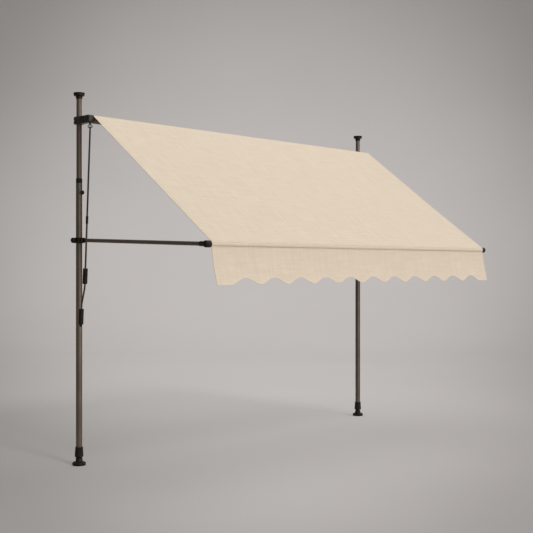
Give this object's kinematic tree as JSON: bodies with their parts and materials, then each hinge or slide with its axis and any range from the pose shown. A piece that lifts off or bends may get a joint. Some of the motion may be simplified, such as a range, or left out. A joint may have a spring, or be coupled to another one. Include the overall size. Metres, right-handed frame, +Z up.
{
  "type": "clamp awning",
  "caption": "Retractable clamp awning braced between floor and ceiling on telescopic poles, with a cranked cloth roller, swinging arms, front bar and scalloped valance.",
  "frame": {"origin": "on the floor, midway between the axes of the two poles", "axes": "+X across the awning from the crank side to the other pole, -Y out under the canopy, +Z up"},
  "size_m": [3.2026, 1.3694, 2.5],
  "materials": {
    "pole_metal": "satin dark bronze powder coat",
    "fitting_plastic": "moulded black-brown plastic",
    "pad_rubber": "soft black rubber",
    "canopy_canvas": "cream woven awning canvas",
    "zinc_steel": "zinc-plated steel"
  },
  "bodies": {
    "frame": {"left_ceiling_pad": "pad_rubber", "left_ceiling_cap": "fitting_plastic", "left_upper_tube": "pole_metal", "left_roller_bracket": "fitting_plastic", "left_bracket_strap": "fitting_plastic", "left_arm_slider": "fitting_plastic", "left_arm_pivot_pin": "zinc_steel", "right_ceiling_pad": "pad_rubber", "right_ceiling_cap": "fitting_plastic", "right_upper_tube": "pole_metal", "right_roller_bracket": "fitting_plastic", "right_bracket_strap": "fitting_plastic", "right_arm_slider": "fitting_plastic", "right_arm_pivot_pin": "zinc_steel", "gear_cover": "fitting_plastic", "idler_bush": "fitting_plastic"},
    "left_lower_pole": {"left_lower_tube": "pole_metal", "left_pole_collar": "fitting_plastic"},
    "left_lock_knob": {"left_lock_knob": "fitting_plastic"},
    "left_foot": {"left_foot_base": "fitting_plastic", "left_foot_spindle": "zinc_steel", "left_foot_sole": "pad_rubber"},
    "left_foot_nut": {"left_foot_nut": "fitting_plastic"},
    "left_arm_knob": {"left_arm_knob": "fitting_plastic"},
    "right_lower_pole": {"right_lower_tube": "pole_metal", "right_pole_collar": "fitting_plastic"},
    "right_lock_knob": {"right_lock_knob": "fitting_plastic"},
    "right_foot": {"right_foot_base": "fitting_plastic", "right_foot_spindle": "zinc_steel", "right_foot_sole": "pad_rubber"},
    "right_foot_nut": {"right_foot_nut": "fitting_plastic"},
    "right_arm_knob": {"right_arm_knob": "fitting_plastic"},
    "roller": {"roller_tube": "pole_metal", "roller_drive_plug": "fitting_plastic", "roller_idler_plug": "fitting_plastic", "worm_wheel": "zinc_steel"},
    "worm": {"worm_shaft": "zinc_steel", "crank_eye": "zinc_steel"},
    "crank": {"crank_hook": "zinc_steel", "crank_rod": "pole_metal", "crank_joint_sleeve": "fitting_plastic", "crank_handle": "pole_metal", "crank_end_cap": "fitting_plastic"},
    "upper_grip": {"upper_grip": "fitting_plastic"},
    "lower_grip": {"lower_grip": "fitting_plastic"},
    "arms": {"left_arm_root": "fitting_plastic", "left_arm_tube": "pole_metal", "left_arm_elbow": "fitting_plastic", "left_bar_cap": "fitting_plastic", "right_arm_root": "fitting_plastic", "right_arm_tube": "pole_metal", "right_arm_elbow": "fitting_plastic", "right_bar_cap": "fitting_plastic", "front_bar": "pole_metal"},
    "canopy": {"canopy_cloth": "canopy_canvas", "bar_pocket": "canopy_canvas"},
    "valance": {"valance": "canopy_canvas"}
  },
  "joints": [
    {"name": "crank_turn", "type": "hinge", "parent": "frame", "child": "crank", "pos_m": [-1.506, -0.133, 2.261], "axis": [-0.0407, 0, -0.9992], "range_deg": [0, 14688], "deforming": ["canopy_cloth"]},
    {"name": "worm_turn", "type": "hinge", "parent": "frame", "child": "worm", "pos_m": [-1.506, -0.133, 2.261], "axis": [0, 0, -1], "range_deg": [0, 14688]},
    {"name": "roller_turn", "type": "hinge", "parent": "frame", "child": "roller", "pos_m": [0, -0.115, 2.312], "axis": [-1, 0, 0], "range_deg": [0, 1224]},
    {"name": "arm_swing", "type": "hinge", "parent": "frame", "child": "arms", "pos_m": [0, -0.05, 1.509], "axis": [-1, 0, 0], "range_deg": [0, 45.1]},
    {"name": "canopy_tilt", "type": "hinge", "parent": "arms", "child": "canopy", "pos_m": [0, -1.27021, 1.46511], "axis": [-1, 0, 0], "range_deg": [-8, 0]},
    {"name": "valance_tilt", "type": "hinge", "parent": "arms", "child": "valance", "pos_m": [0, -1.27021, 1.46511], "axis": [-1, 0, 0], "range_deg": [-45.1, 0]},
    {"name": "left_pole_slide", "type": "slide", "parent": "frame", "child": "left_lower_pole", "axis": [0, 0, -1], "range_m": [-0.33, 0.27]},
    {"name": "left_lock_knob_turn", "type": "hinge", "parent": "left_lower_pole", "child": "left_lock_knob", "pos_m": [-1.5, -0.036, 1.829], "axis": [0, -1, 0], "range_deg": [0, 720]},
    {"name": "left_nut_turn", "type": "hinge", "parent": "left_lower_pole", "child": "left_foot_nut", "pos_m": [-1.5, 0, 0.0895], "axis": [0, 0, 1], "range_deg": [0, 3600]},
    {"name": "left_foot_slide", "type": "slide", "parent": "left_lower_pole", "child": "left_foot", "axis": [0, 0, -1], "range_m": [0, 0.0401]},
    {"name": "left_arm_knob_turn", "type": "hinge", "parent": "frame", "child": "left_arm_knob", "pos_m": [-1.545, 0, 1.509], "axis": [-1, 0, 0], "range_deg": [0, 720]},
    {"name": "right_pole_slide", "type": "slide", "parent": "frame", "child": "right_lower_pole", "axis": [0, 0, -1], "range_m": [-0.33, 0.27]},
    {"name": "right_lock_knob_turn", "type": "hinge", "parent": "right_lower_pole", "child": "right_lock_knob", "pos_m": [1.5, -0.036, 1.829], "axis": [0, -1, 0], "range_deg": [0, 720]},
    {"name": "right_nut_turn", "type": "hinge", "parent": "right_lower_pole", "child": "right_foot_nut", "pos_m": [1.5, 0, 0.0895], "axis": [0, 0, 1], "range_deg": [0, 3600]},
    {"name": "right_foot_slide", "type": "slide", "parent": "right_lower_pole", "child": "right_foot", "axis": [0, 0, -1], "range_m": [0, 0.0401]},
    {"name": "right_arm_knob_turn", "type": "hinge", "parent": "frame", "child": "right_arm_knob", "pos_m": [1.545, 0, 1.509], "axis": [1, 0, 0], "range_deg": [0, 720]},
    {"name": "upper_grip_spin", "type": "hinge", "parent": "crank", "child": "upper_grip", "pos_m": [-1.54633, -0.133, 1.26982], "axis": [-0.0407, 0, -0.9992], "continuous": true},
    {"name": "lower_grip_spin", "type": "hinge", "parent": "crank", "child": "lower_grip", "pos_m": [-1.625, -0.19935, 1.0088], "axis": [-0.0407, 0, -0.9992], "continuous": true}
  ],
  "couplings": [
    {"joint": "worm_turn", "follows": "crank_turn", "ratio": 1},
    {"joint": "roller_turn", "follows": "crank_turn", "ratio": 0.083333},
    {"joint": "arm_swing", "follows": "crank_turn", "ratio": 0.0030637},
    {"joint": "canopy_tilt", "follows": "crank_turn", "ratio": -0.00047667},
    {"joint": "valance_tilt", "follows": "crank_turn", "ratio": -0.0030637},
    {"joint": "left_foot_slide", "follows": "left_nut_turn", "m_per_rad": 0.00063662},
    {"joint": "right_foot_slide", "follows": "right_nut_turn", "m_per_rad": 0.00063662}
  ]
}
